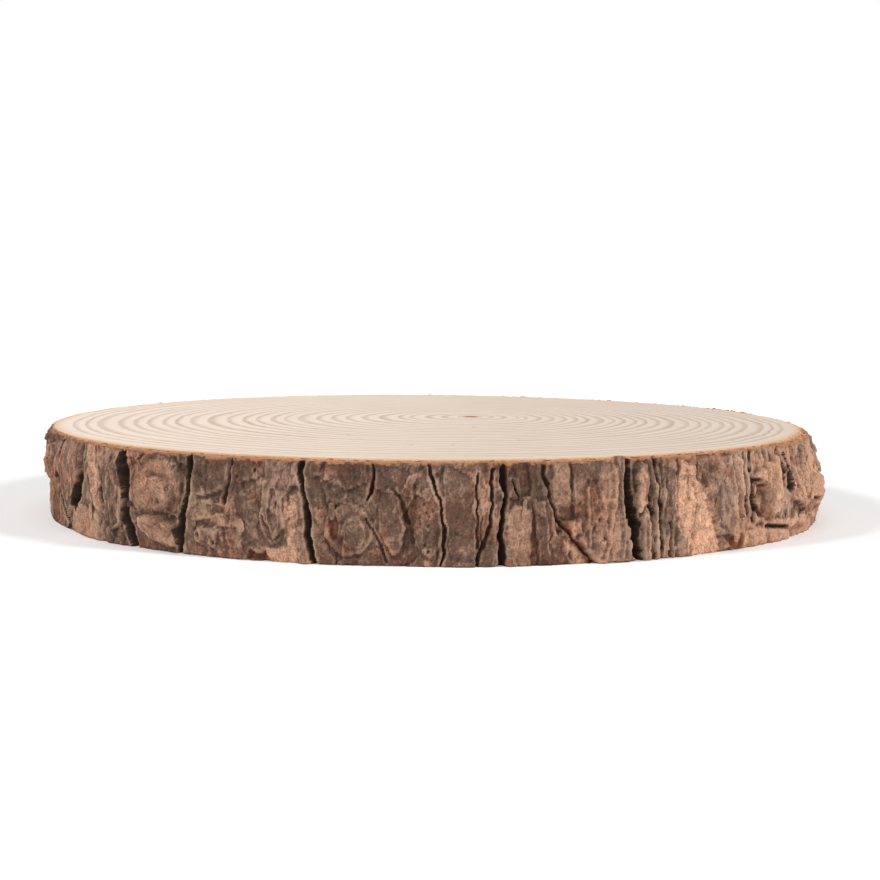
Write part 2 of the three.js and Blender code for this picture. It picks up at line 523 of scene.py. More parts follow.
def scattered_flakes(seed, count):
    """Rows like FLAKES for the sides and back of the trunk, from a fixed seed."""
    rng = np.random.default_rng(seed)
    rows = []
    for _ in range(count):
        bearing = rng.uniform(78, 289)
        middle = rng.uniform(0, THICKNESS)
        half_width = rng.uniform(0.9, 3.2)
        half_height = half_width * rng.uniform(1.2, 4.0)
        corners = rng.integers(5, 9)
        turns = np.sort(rng.uniform(0, 2 * math.pi, corners))
        spread = rng.uniform(0.75, 1.1, corners)
        outline = []
        for turn, reach in zip(turns, spread):
            aside = half_width * reach * math.sin(turn)
            outline.append((bearing + aside, middle + half_height * reach * math.cos(turn)))
        rise = rng.choice([-0.7, 0.6, 0.9, 1.2])
        lean_right, lean_up = rng.uniform(-0.4, 0.4), rng.uniform(-0.5, 0.5)
        rows.append((rise, lean_right, lean_up, outline))
    return rows


def blurred(field, rounds):
    """The field averaged over its neighbours a number of times. Its columns join up; its rows don't."""
    for _ in range(rounds):
        field = (np.roll(field, 1, axis=1) + field + np.roll(field, -1, axis=1)) / 3
        padded = np.pad(field, ((1, 1), (0, 0)), mode="edge")
        field = (padded[:-2] + field + padded[2:]) / 3
    return field


def bent(along, seed, fine_seed, u, v):
    """A distance on the bark, bent by wide, middling and fine noise."""
    broad = along + 1.5 * ring_noise(seed, 8, 10, u, v) + 0.5 * ring_noise(seed + 1, 2.6, 3, u, v)
    return broad + 0.15 * ring_noise(fine_seed, 1, 1, u, v)


def bark_fields(u, v, sizes):
    """Relief of the bark's side in millimetres, and its colour masks, on a grid of points. Some masks paint
    shade and light into the colour: shade in furrows, pits and hollows, highlight and shade on steps, and
    paler ends.
    """
    level = v / THICKNESS
    bearing = np.degrees(u / BARK_RADIUS)
    right_tip = smoothstep(50, 68, bearing) * smoothstep(112, 94, bearing)
    left_tip = smoothstep(-52, -68, bearing) * smoothstep(-124, -106, bearing)
    rounding = np.where(level > 0.5, (2 * level - 1) ** 4, 0.3 * (1 - 2 * level) ** 6)
    swell = sizes.swell / MM * (1 - rounding) - 2.0 * left_tip
    swell = swell + right_tip * np.interp(level, RIGHT_TIP_LEVELS, RIGHT_TIP_BULGE)
    placed = smoothstep(-80, -74, bearing) * smoothstep(82, 76, bearing)
    bent_u = bent(u, 31, 30, u, v)
    bent_v = bent(v, 33, 29, u, v)
    broad = 0.5 * ring_noise(35, 18, 22, u, v)
    big = cell_plates(41, 10, 17, bent_u, bent_v)
    small = cell_plates(42, 4, 6.5, bent_u, bent_v)
    chips = cell_plates(43, 1.7, 2.4, bent_u, bent_v)
    layers = (1 - 0.6 * placed) * 0.8 * big + (1 - 0.5 * placed) * 0.45 * small
    layers = layers * (1 - 0.5 * left_tip)
    ribbed = smoothstep(0.1, 0.6, ring_noise(53, 30, 60, u, v)) * (1 - placed)
    for low, high in ((-53, -45), (19.5, 33.5), (47, 62)):
        stretch = smoothstep(low - 1, low + 1, bearing) * smoothstep(high + 1, high - 1, bearing)
        ribbed = np.maximum(ribbed, stretch)
    ribs = ring_noise(51, 2.4, 30, bent_u, v) + 0.5 * ring_noise(52, 1.0, 14, bent_u, v)
    ribs = ribs * (1 + smoothstep(44, 50, bearing) * smoothstep(100, 80, bearing))
    strips = cell_plates(44, 1.5, 10, bent_u, v)
    stripped = smoothstep(45, 51, bearing) * smoothstep(104, 90, bearing)
    fine = fractal(61, 1.8, 2.6, bent_u, bent_v, 4, 0.6)
    tan = patch_mask(TAN_PATCHES, 81, u, v)
    rust = patch_mask(RUST_PATCHES, 91, u, v)
    grit = tan * 0.2 * fractal(63, 1.0, 1.0, u, v, 2, 0.7)
    flakes = flake_relief(FLAKES + scattered_flakes(71, 170), u, v)
    ridges = line_depths(RIDGES, 17, 0.0, 1.1, u, v)
    furrow = line_depths(FURROWS, 11, 0.65, 1.1, u, v)
    shade = line_depths(FURROWS, 11, 0.7, 1.5, u, v)
    pits = np.zeros(u.shape)
    for pit_bearing, height, radius, depth in PITS:
        apart = np.hypot(wrapped(bent_u - around(pit_bearing)), bent_v - height)
        pits = np.maximum(pits, depth * smoothstep(1.2, 0.5, apart / radius))
    openness = 0.35 + 0.65 * smoothstep(0.3, 3.0, THICKNESS - v)
    quiet = 0.25 + 0.75 * smoothstep(0, 2.0, THICKNESS - v)
    calm = smoothstep(-20, -14, bearing) * smoothstep(20, 10, bearing)
    flakes = flakes * (1 - 0.2 * calm)
    surface = broad + layers + flakes + ridges
    surface = surface + 0.3 * ribbed * ribs + (0.15 * ribbed + 0.4 * stripped) * strips
    texture = sizes.roughness * (0.13 * fine + 0.15 * chips) * (1 - 0.45 * stripped) + grit
    surface = surface - (0.2 + 0.6 * placed)
    relief = swell + quiet * (surface + texture - pits) - openness * furrow
    # Painted shade: how far each point lies below its neighbourhood, which the material paints darker
    hollow = np.clip((blurred(relief, 16) - relief) / 1.1, -1, 1)
    # Painted highlight and shade: above 0 on the raised tops of steps, which are painted lighter, and below 0
    # at their feet, which are painted darker
    edge = np.clip((relief - blurred(relief, 3)) / 0.16, -1, 1)
    # Painted light: the bark's tone is made paler towards both ends, the right more, standing in for the
    # stronger light from the side suns
    painted_side_light = 1.5 * smoothstep(22, 60, bearing) + 0.7 * smoothstep(-24, -56, bearing)
    tone = 0.6 * big + 0.4 * small + 0.4 * ring_noise(95, 14, 20, u, v) + painted_side_light - 0.3
    # Painted shade: the share by which the material darkens furrows and pits, partly their own darker colour,
    # partly painted shade
    share = np.clip((shade + 0.7 * pits) / 2.6, 0, 1)
    return relief, {"furrow": share, "hollow": hollow, "edge": edge, "tan": tan, "rust": rust, "tone": tone}


# ---------------------------------------------------------------------------------------------------
# Meshes


def grid_faces(rows, columns, close_rows=False):
    """Quads between rows of points that each run right round, so that the last column meets the first."""
    row = np.arange(rows if close_rows else rows - 1)[:, None]
    column = np.arange(columns)[None, :]
    following_row = (row + 1) % rows
    following_column = (column + 1) % columns
    corners = [row * columns + column, row * columns + following_column,
               following_row * columns + following_column, following_row * columns + column]
    return np.stack(np.broadcast_arrays(*corners), axis=-1).reshape(-1, 4)


def mesh_object(name, points, faces, smooth=True):
    """A new object with its points in millimetres in the frame, linked to the scene."""
    mesh = bpy.data.meshes.new(name)
    mesh.from_pydata((np.asarray(points) * MM).tolist(), [], faces)
    mesh.validate()
    mesh.polygons.foreach_set("use_smooth", [smooth] * len(mesh.polygons))
    mesh.update()
    piece = bpy.data.objects.new(name, mesh)
    bpy.context.scene.collection.objects.link(piece)
    return piece


def set_values(piece, values):
    """Stores one number for each point under each name."""
    for name, numbers in values.items():
        attribute = piece.data.attributes.new(name, "FLOAT", "POINT")
        attribute.data.foreach_set("value", np.asarray(numbers, dtype=np.float32).ravel())


def set_bake_map(piece, coordinates):
    """The piece's own unwrapping: one (x, y) for each corner of each face."""
    layer = piece.data.uv_layers.new(name="OFBake")
    layer.data.foreach_set("uv", np.asarray(coordinates, dtype=np.float32).ravel())


def place(bearing, radius):
    """x and y in the frame of points round the trunk's axis."""
    angle = np.radians(bearing)
    return AXIS_X + radius * np.sin(angle), AXIS_Y - radius * np.cos(angle)


def seam_radius(bearing):
    """Radius of the uneven line where pale wood meets inner bark."""
    u = around(bearing)
    side = (np.asarray(bearing) + 180) % 360 - 180
    right = smoothstep(48, 70, side) * smoothstep(126, 104, side)
    left = smoothstep(-58, -74, side) * smoothstep(-126, -106, side)
    uneven = 0.35 * ring_noise(5, 11, 30, u, 0 * u) + 0.15 * ring_noise(6, 3, 30, u, 0 * u)
    return wood_edge(bearing) + uneven * (1 + right) - 1.2 * right + 0.5 * left


SEAM_OVERLAP = 0.4     # the wood and the bark run this far into each other, out of sight
SEAM_INSET = 3.6       # below both faces the hidden seam lies this much further in, deeper than any furrow
SEAM_SLANT = 2.6       # height over which it slants in
FURROW_FLOOR = 0.7     # least bark left over the seam
FRONT_CROWDING = 22    # degrees that columns are drawn towards the front, where the bark is finest
SHOULDER_ROWS = 7
RIM_LINE_ROW = 4       # row of the shoulder that splinters lie along
SIDE_ROWS = 49
UNDER_ROWS = 4
STRIPS = 5        # pieces that the bark is cut into to lay it flat for baking


def bark_mesh(sizes):
    """The ring of bark: rough shoulder on top, craggy side, sawn underside, and a wall against the wood."""
    columns = sizes.columns
    even = np.linspace(-180, 180, columns, endpoint=False)
    bearing = even - FRONT_CROWDING * np.sin(np.radians(even))
    u = around(bearing)
    seam = seam_radius(bearing) - SEAM_OVERLAP
    rim = wood_edge(bearing) + BARK_RING
    torn = smoothstep(52, 66, bearing) * smoothstep(110, 96, bearing) + 0.3 * smoothstep(-62, -70, bearing)
    knot = smoothstep(24.6, 25.2, bearing) * smoothstep(26.8, 26.2, bearing)
    lip = THICKNESS - 0.5 - 0.9 * torn + 0.75 * knot + (0.16 + 0.3 * torn) * fractal(7, 4, 30, u, 0 * u, 4)
    hem = 0.02 + 0.5 * smoothstep(0.4, 1.1, fractal(8, 6, 30, u, 0 * u, 4, 0.6))
    share = np.linspace(1, 0, SIDE_ROWS)[:, None]
    v = hem + (lip - hem) * share
    relief, masks = bark_fields(np.broadcast_to(u, v.shape), v, sizes)
    slant = np.clip(np.minimum(v, THICKNESS - v) / SEAM_SLANT, 0, 1)
    side_radius = np.maximum(rim + relief, seam + SEAM_OVERLAP - SEAM_INSET * slant + FURROW_FLOOR)
    rows = []
    for step in np.linspace(0, 1, SHOULDER_ROWS, endpoint=False):
        radius = seam + (side_radius[0] - seam) * step
        rough = 0.16 * fractal(9, 2.4, 2.4, u, 0 * u + 9 * step, 3) * math.sin(math.pi * min(1, step * 1.2))
        rows.append((radius, THICKNESS - 0.06 + (lip - THICKNESS) * step ** 1.6 + rough))
    rows += [(side_radius[i], v[i]) for i in range(SIDE_ROWS)]
    for step in np.linspace(1, 0, UNDER_ROWS + 1)[1:]:
        radius = seam + (side_radius[-1] - seam) * step
        rows.append((radius, hem * smoothstep(0.3, 1, step) + 0.03 * (1 - step)))
    rows += [(seam - SEAM_INSET, SEAM_SLANT), (seam - SEAM_INSET, THICKNESS - SEAM_SLANT)]
    points = [np.stack([*place(bearing, radius), height + 0 * u], axis=1) for radius, height in rows]
    count = len(rows)
    faces = grid_faces(count, columns, close_rows=True)[:, ::-1]
    bark = mesh_object("bark", np.concatenate(points), faces.tolist())
    below = count - SHOULDER_ROWS - SIDE_ROWS
    spread = {name: np.concatenate([np.repeat(field[:1], SHOULDER_ROWS, 0), field,
                                    np.repeat(field[-1:], below, 0)]) for name, field in masks.items()}
    across = np.zeros((count, columns))
    across[:SHOULDER_ROWS] = 1 - 0.6 * np.linspace(0, 1, SHOULDER_ROWS, endpoint=False)[:, None]
    worn = np.clip(0.5 + 0.6 * fractal(12, 5, 30, u, 0 * u, 4, 0.6), 0, 1)
    across[SHOULDER_ROWS:SHOULDER_ROWS + 2] = np.array([0.4, 0.24])[:, None] * worn
    across[-below:] = np.minimum(1, np.arange(1, below + 1) / UNDER_ROWS)[:, None]
    # The painted shade and highlight masks fade out over the shoulder and the underside
    for name in ("furrow", "hollow", "edge"):
        spread[name][:SHOULDER_ROWS] *= np.linspace(0, 1, SHOULDER_ROWS)[:, None]
        spread[name][-below:] *= (1 - across[-below:])
    set_values(bark, {**spread, "inner": across})
    bark_bake_map(bark, count, columns)
    return bark


def bark_bake_map(bark, rows, columns):
    """Lays the ring flat as a stack of strips. The hidden wall against the wood gets a sliver."""
    corners = np.empty(len(bark.data.loops), dtype=np.int64)
    bark.data.loops.foreach_get("vertex_index", corners)
    corners = corners.reshape(-1, 4)
    row, column = corners // columns, corners % columns
    wraps_column = (column.max(axis=1) - column.min(axis=1) > 1)[:, None]
    column = np.where(wraps_column & (column == 0), columns, column)
    wraps_row = (row.max(axis=1) - row.min(axis=1) > 1)[:, None]
    row = np.where(wraps_row & (row == 0), rows, row)
    per_strip = columns // STRIPS
    strip = np.minimum(column.min(axis=1) // per_strip, STRIPS - 1)[:, None]
    margin = 0.006
    x = margin + (column - strip * per_strip) / per_strip * (1 - 2 * margin)
    y = (strip + 0.03 + 0.94 * row / rows) / STRIPS
    set_bake_map(bark, np.stack([x, y], axis=-1))


WOOD_COLUMNS = 400
WOOD_ROWS = np.concatenate([np.linspace(0, 0.95, 50)[1:], [0.962, 0.972, 0.98, 0.987, 0.993, 0.997, 1.0]])


def wood_mesh(sizes):
    """The pale disc: two sawn faces laid out in rings round the pith, and the wall between them."""
    bearing = np.linspace(-180, 180, WOOD_COLUMNS, endpoint=False)
    edge_x, edge_y = place(bearing, seam_radius(bearing))
    pith_x, pith_y = sizes.pith_right / MM, sizes.pith_back / MM
    reach = np.hypot(edge_x - pith_x, edge_y - pith_y)
    points, ring, from_edge = [], [], []
    for level, rows in ((THICKNESS, WOOD_ROWS), (0.0, WOOD_ROWS[::-1])):
        for share in rows:
            x = pith_x + share * (edge_x - pith_x)
            y = pith_y + share * (edge_y - pith_y)
            rounding = 0.16 * smoothstep(1.6, 0, (1 - share) * reach)
            height = level - rounding if level else 0.02 + rounding
            points.append(np.stack([x, y, height + 0 * x], axis=1))
            ring.append(np.full(WOOD_COLUMNS, share))
            from_edge.append((1 - share) * reach)
        if level:
            for height in (THICKNESS - SEAM_SLANT, SEAM_SLANT):
                x, y = place(bearing, seam_radius(bearing) - SEAM_INSET)
                points.append(np.stack([x, y, height + 0 * x], axis=1))
                ring.append(np.ones(WOOD_COLUMNS))
                from_edge.append(np.zeros(WOOD_COLUMNS))
    rows = 2 * len(WOOD_ROWS) + 2
    faces = grid_faces(rows, WOOD_COLUMNS)[:, ::-1].tolist()
    pith_top, pith_under = rows * WOOD_COLUMNS, rows * WOOD_COLUMNS + 1
    points.append(np.array([[pith_x, pith_y, THICKNESS], [pith_x, pith_y, 0.02]]))
    last = (rows - 1) * WOOD_COLUMNS
    for i in range(WOOD_COLUMNS):
        j = (i + 1) % WOOD_COLUMNS
        faces.append([i, j, pith_top])
        faces.append([last + j, last + i, pith_under])
    wood = mesh_object("sawn_wood", np.concatenate(points), faces)
    ends = np.zeros(2)
    from_edge = np.concatenate(from_edge + [ends + 50])
    set_values(wood, {"ring": np.concatenate(ring + [ends]), "from_edge": from_edge})
    wood_bake_map(wood)
    return wood


def wood_bake_map(wood):
    """Both sawn faces side by side across the map's diagonal, with the hidden wall in a corner."""
    mesh = wood.data
    points = np.empty(len(mesh.vertices) * 3)
    mesh.vertices.foreach_get("co", points)
    points = points.reshape(-1, 3) / MM
    corners = np.empty(len(mesh.loops), dtype=np.int64)
    mesh.loops.foreach_get("vertex_index", corners)
    polygon = np.repeat(np.arange(len(mesh.polygons)), [p.loop_total for p in mesh.polygons])
    heights = points[corners, 2]
    tops = np.full(len(mesh.polygons), -1e9)
    lows = np.full(len(mesh.polygons), 1e9)
    np.maximum.at(tops, polygon, heights)
    np.minimum.at(lows, polygon, heights)
    is_wall = (tops - lows > 1)[polygon]
    is_top = heights > THICKNESS / 2
    radius = 0.286
    widest = np.abs(points[:, :2]).max()
    x = points[corners, 0] / widest * radius
    y = points[corners, 1] / widest * radius
    centre = np.where(is_top, 0.296, 0.704)
    angle = np.arctan2(points[corners, 0], points[corners, 1]) / (2 * math.pi) + 0.5
    x = np.where(is_wall, 0.62 + 0.34 * angle, centre + x)
    y = np.where(is_wall, 0.01 + 0.03 * heights / THICKNESS, centre + y)
    set_bake_map(wood, np.stack([x, y], axis=-1))


# ---------------------------------------------------------------------------------------------------
# Short calls for wiring node trees


def add_node(tree, kind, sockets=None, **settings):
    """A new node with its settings made and its sockets linked or filled in."""
    made = tree.nodes.new(kind)
    for name, value in settings.items():
        setattr(made, name, value)
    for name, value in (sockets or {}).items():
        if isinstance(value, bpy.types.NodeSocket):
            tree.links.new(value, made.inputs[name])
        else:
            made.inputs[name].default_value = value
    return made


def calculate(tree, operation, first, second=0.0, third=0.0):
    """The result of one sum on numbers or sockets."""
    return add_node(tree, "ShaderNodeMath", {0: first, 1: second, 2: third}, operation=operation).outputs[0]


def remapped(tree, value, low, high, new_low=0.0, new_high=1.0):
    """A value taken smoothly from one range to another and held at its ends."""
    sockets = {"Value": value, "From Min": low, "From Max": high, "To Min": new_low, "To Max": new_high}
    return add_node(tree, "ShaderNodeMapRange", sockets, interpolation_type="SMOOTHSTEP").outputs["Result"]


def mixed(tree, factor, first, second, blend="MIX"):
    """Two colours mixed by a factor."""
    sockets = {0: factor, 6: first, 7: second}
    return add_node(tree, "ShaderNodeMix", sockets, data_type="RGBA", blend_type=blend).outputs[2]


def ramped(tree, factor, stops):
    """A colour ramp with (position, colour) stops."""
    made = add_node(tree, "ShaderNodeValToRGB", {"Fac": factor})
    ramp = made.color_ramp
    ramp.elements[0].position, ramp.elements[0].color = stops[0]
    ramp.elements[1].position, ramp.elements[1].color = stops[-1]
    for position, colour in stops[1:-1]:
        ramp.elements.new(position).color = colour
    return made.outputs["Color"]


def attribute(tree, name):
    """A number stored on the piece's points."""
    return add_node(tree, "ShaderNodeAttribute", attribute_name=name).outputs["Fac"]


def noise(tree, vector, scale, detail=4.0, roughness=0.6, distortion=0.0):
    """Fractal noise from 0 to 1. The scale is in cycles for each metre."""
    sockets = {"Vector": vector, "Scale": scale, "Detail": detail,
               "Roughness": roughness, "Distortion": distortion}
    return add_node(tree, "ShaderNodeTexNoise", sockets).outputs["Fac"]


def vector_sum(tree, operation, first, second=(0.0, 0.0, 0.0)):
    """The result of one sum on vectors or sockets."""
    made = add_node(tree, "ShaderNodeVectorMath", {0: first, 1: second}, operation=operation)
    return made.outputs["Vector"]


def scaled(tree, vector, factor):
    """A vector multiplied by one number."""
    made = add_node(tree, "ShaderNodeVectorMath", {0: vector, "Scale": factor}, operation="SCALE")
    return made.outputs["Vector"]


def vector_of(tree, x, y, z):
    """A vector put together from three numbers or sockets."""
    return add_node(tree, "ShaderNodeCombineXYZ", {"X": x, "Y": y, "Z": z}).outputs["Vector"]


def added_about_half(tree, base, value, share):
    """A base with a share of a value's distance from a half added to it."""
    return calculate(tree, "MULTIPLY_ADD", calculate(tree, "SUBTRACT", value, 0.5), share, base)


def dulled(tree, colour, brightness):
    """A colour multiplied by a brightness."""
    sockets = {0: brightness, 1: brightness, 2: brightness}
    grey = add_node(tree, "ShaderNodeCombineColor", sockets).outputs["Color"]
    return mixed(tree, 1.0, colour, grey, "MULTIPLY")


def opaque(colour):
    """A colour property as four numbers."""
    return (*colour, 1.0)


def shaded(colour, share):
    """A colour property multiplied by a share, as four numbers."""
    return (*(min(1.0, part * share) for part in colour), 1.0)


def shades(colour, stops):
    """Colour ramp stops of one colour, from (position, share) rows."""
    return [(position, shaded(colour, share)) for position, share in stops]


def new_group(name, inputs, outputs):
    """An empty shader node group with float or vector sockets, and its two end nodes."""
    tree = bpy.data.node_groups.new(name, "ShaderNodeTree")
    for label, kind, value in inputs:
        socket = tree.interface.new_socket(label, in_out="INPUT", socket_type=kind)
        if value is not None:
            socket.default_value = value
    for label, kind in outputs:
        tree.interface.new_socket(label, in_out="OUTPUT", socket_type=kind)
    return tree, tree.nodes.new("NodeGroupInput"), tree.nodes.new("NodeGroupOutput")


def grain_group():
    """Woody grain: stretched fibres broken by a finer noise. Puts out a height and a fleck mask."""
    name = "Woody Grain"
    if name in bpy.data.node_groups:
        return bpy.data.node_groups[name]
    inputs = [("Vector", "NodeSocketVector", None), ("Stretch", "NodeSocketVector", (1.0, 1.0, 1.0)),
              ("Scale", "NodeSocketFloat", 500.0)]
    tree, start, end = new_group(name, inputs, [("Height", "NodeSocketFloat"), ("Flecks", "NodeSocketFloat")])
    fibres_at = vector_sum(tree, "MULTIPLY", start.outputs["Vector"], start.outputs["Stretch"])
    fibres = noise(tree, fibres_at, start.outputs["Scale"], 5.0, 0.65, 0.3)
    finer = calculate(tree, "MULTIPLY", start.outputs["Scale"], 2.7)
    grit = noise(tree, start.outputs["Vector"], finer, 3.0, 0.6)
    height = calculate(tree, "MULTIPLY", fibres, 0.65)
    height = calculate(tree, "ADD", height, calculate(tree, "MULTIPLY", grit, 0.35))
    tree.links.new(height, end.inputs["Height"])
    tree.links.new(remapped(tree, height, 0.38, 0.62), end.inputs["Flecks"])
    return tree


def mottle_group():
    """Slow patchy colour change: two noises added, spread about a half by a contrast."""
    name = "Mottle"
    if name in bpy.data.node_groups:
        return bpy.data.node_groups[name]
    inputs = [("Vector", "NodeSocketVector", None), ("Scale", "NodeSocketFloat", 60.0),
              ("Contrast", "NodeSocketFloat", 1.5)]
    tree, start, end = new_group(name, inputs, [("Value", "NodeSocketFloat")])
    broad = noise(tree, start.outputs["Vector"], start.outputs["Scale"], 3.0, 0.55, 0.6)
    finer = calculate(tree, "MULTIPLY", start.outputs["Scale"], 5.3)
    small = noise(tree, start.outputs["Vector"], finer, 4.0, 0.6)
    both = calculate(tree, "MULTIPLY_ADD", small, 0.45, calculate(tree, "MULTIPLY", broad, 0.55))
    spread = added_about_half(tree, 0.5, both, start.outputs["Contrast"])
    tree.links.new(spread, end.inputs["Value"])
    return tree


def scale_group():
    """Small bark scales: warped cells, each at its own level. Puts out a height and a random tone."""
    name = "Bark Scales"
    if name in bpy.data.node_groups:
        return bpy.data.node_groups[name]
    inputs = [("Vector", "NodeSocketVector", None), ("Scale", "NodeSocketFloat", 300.0),
              ("Warp", "NodeSocketFloat", 0.002)]
    tree, start, end = new_group(name, inputs, [("Height", "NodeSocketFloat"), ("Tone", "NodeSocketFloat")])
    where = start.outputs["Vector"]
    rate = calculate(tree, "MULTIPLY", start.outputs["Scale"], 1.3)
    sockets = {"Vector": where, "Scale": rate, "Detail": 3.0, "Roughness": 0.6}
    swirl = add_node(tree, "ShaderNodeTexNoise", sockets).outputs["Color"]
    centred = vector_sum(tree, "SUBTRACT", swirl, (0.5, 0.5, 0.5))
    pushed = vector_sum(tree, "ADD", where, scaled(tree, centred, start.outputs["Warp"]))
    pushed = vector_sum(tree, "MULTIPLY", pushed, (1.0, 1.0, 0.6))
    heights, tones = [], []
    for factor in (1.0, 2.6):
        size = calculate(tree, "MULTIPLY", start.outputs["Scale"], factor)
        cells = add_node(tree, "ShaderNodeTexVoronoi", {"Vector": pushed, "Scale": size})
        parts = add_node(tree, "ShaderNodeSeparateColor", {0: cells.outputs["Color"]})
        heights.append(parts.outputs[0])
        tones.append(parts.outputs[1])
    height = calculate(tree, "MULTIPLY_ADD", heights[1], 0.4, calculate(tree, "MULTIPLY", heights[0], 0.6))
    tone = calculate(tree, "MULTIPLY_ADD", tones[1], 0.4, calculate(tree, "MULTIPLY", tones[0], 0.6))
    tree.links.new(height, end.inputs["Height"])
    tree.links.new(tone, end.inputs["Tone"])
    return tree


def place_group(tree, group, **values):
    """A node group placed in a material with its own values, given by socket name."""
    made = tree.nodes.new("ShaderNodeGroup")
    made.node_tree = group
    for name, value in values.items():
        socket = made.inputs[name]
        if isinstance(value, bpy.types.NodeSocket):
            tree.links.new(value, socket)
        else:
            socket.default_value = value
    return made


def new_material(name, specular):
    """(material, tree, its Principled shader, object coordinates)."""
    material = bpy.data.materials.new(name)
    material.use_nodes = True
    tree = material.node_tree
    shader = tree.nodes["Principled BSDF"]
    shader.inputs["Specular IOR Level"].default_value = specular
    where = tree.nodes.new("ShaderNodeTexCoord").outputs["Object"]
    return material, tree, shader, where


def finish_material(tree, shader, colour, roughness, height, distance):
    """Feeds the shader's colour and roughness, and its normal from one bump."""
    bump = add_node(tree, "ShaderNodeBump", {"Strength": 1.0, "Distance": distance, "Height": height})
    tree.links.new(colour, shader.inputs["Base Color"])
    tree.links.new(roughness, shader.inputs["Roughness"])
    tree.links.new(bump.outputs["Normal"], shader.inputs["Normal"])


# ---------------------------------------------------------------------------------------------------
# Loose flakes and splinters, made with Geometry Nodes


def new_geometry_tree(name, inputs):
    """An empty geometry tree with (name, kind, value) inputs after its geometry, and its two end nodes."""
    tree = bpy.data.node_groups.new(name, "GeometryNodeTree")
    tree.interface.new_socket("Geometry", in_out="INPUT", socket_type="NodeSocketGeometry")
    tree.interface.new_socket("Geometry", in_out="OUTPUT", socket_type="NodeSocketGeometry")
    for label, kind, value in inputs:
        socket = tree.interface.new_socket(label, in_out="INPUT", socket_type=kind)
        if value is not None:
            socket.default_value = value
    return tree, tree.nodes.new("NodeGroupInput").outputs, tree.nodes.new("NodeGroupOutput")


def random_between(tree, low, high, seed, kind="FLOAT"):
    """A random number or vector for each element."""
    first = {"FLOAT_VECTOR": 0, "FLOAT": 2, "INT": 4}[kind]
    sockets = {first: low, first + 1: high, "Seed": seed}
    made = add_node(tree, "FunctionNodeRandomValue", sockets, data_type=kind)
    return made.outputs[{"FLOAT_VECTOR": 0, "FLOAT": 1, "INT": 2}[kind]]


def ragged_scale(tree, seed, raggedness):
    """A thin closed plate one unit long and wide, with torn edges that thin out, of a few dozen faces."""
    sockets = {"Size": (1.0, 1.0, 1.0), "Vertices X": 5, "Vertices Y": 6, "Vertices Z": 2}
    block = add_node(tree, "GeometryNodeMeshCube", sockets).outputs["Mesh"]
    where = tree.nodes.new("GeometryNodeInputPosition").outputs["Position"]
    flat = vector_sum(tree, "MULTIPLY", where, (1.0, 1.0, 0.0))
    reach = add_node(tree, "ShaderNodeVectorMath", {0: flat}, operation="LENGTH").outputs["Value"]
    thinner = remapped(tree, reach, 0.2, 0.72, 1.0, 0.25)
    rounder = remapped(tree, reach, 0.4, 0.72, 1.0, 0.8)
    shaped = vector_sum(tree, "MULTIPLY", where, vector_of(tree, rounder, rounder, thinner))
    sockets = {"Vector": flat, "W": seed * 7.3, "Scale": 3.2, "Detail": 2.0}
    torn = add_node(tree, "ShaderNodeTexNoise", sockets, noise_dimensions="4D").outputs["Color"]
    centred = vector_sum(tree, "SUBTRACT", torn, (0.5, 0.5, 0.5))
    strength = vector_of(tree, raggedness, raggedness, 0.5)
    moved = vector_sum(tree, "ADD", shaped, vector_sum(tree, "MULTIPLY", centred, strength))
    sockets = {"Geometry": block, "Position": moved}
    return add_node(tree, "GeometryNodeSetPosition", sockets).outputs["Geometry"]


def scale_choices(tree, raggedness):
    """Three differently torn plates to pick from."""
    choices = tree.nodes.new("GeometryNodeGeometryToInstance")
    for seed in (3, 2, 1):
        tree.links.new(ragged_scale(tree, seed, raggedness), choices.inputs[0])
    return choices.outputs["Instances"]


def turned_at_random(tree, rotation, low, high, seed):
    """A rotation turned further by random angles between two vectors."""
    turn = random_between(tree, low, high, seed, "FLOAT_VECTOR")
    sockets = {"Rotation": rotation, "Rotate By": turn}
    return add_node(tree, "FunctionNodeRotateRotation", sockets, rotation_space="LOCAL").outputs["Rotation"]


def end_in_plates(tree, given, end, points, rotation, limits, seed):
    """Puts torn plates of random sizes on the points, and puts them out in their material."""
    size = random_between(tree, *limits, seed, "FLOAT_VECTOR")
    sockets = {"Points": points, "Instance": scale_choices(tree, given["Raggedness"]), "Pick Instance": True,
               "Instance Index": random_between(tree, 0, 2, seed + 1, "INT"),
               "Rotation": rotation, "Scale": size}
    placed = add_node(tree, "GeometryNodeInstanceOnPoints", sockets).outputs["Instances"]
    real = add_node(tree, "GeometryNodeRealizeInstances", {"Geometry": placed}).outputs["Geometry"]
    sockets = {"Geometry": real, "Material": given["Material"]}
    finished = add_node(tree, "GeometryNodeSetMaterial", sockets).outputs["Geometry"]
    tree.links.new(finished, end.inputs["Geometry"])


FLAKE_FOOT = 3.2         # flakes start this far above the lower face
FLAKE_HEADROOM = 3.0     # and stop this far below the upper one
FLAKE_FACING = 0.85      # least share by which the bark faces outwards under a flake


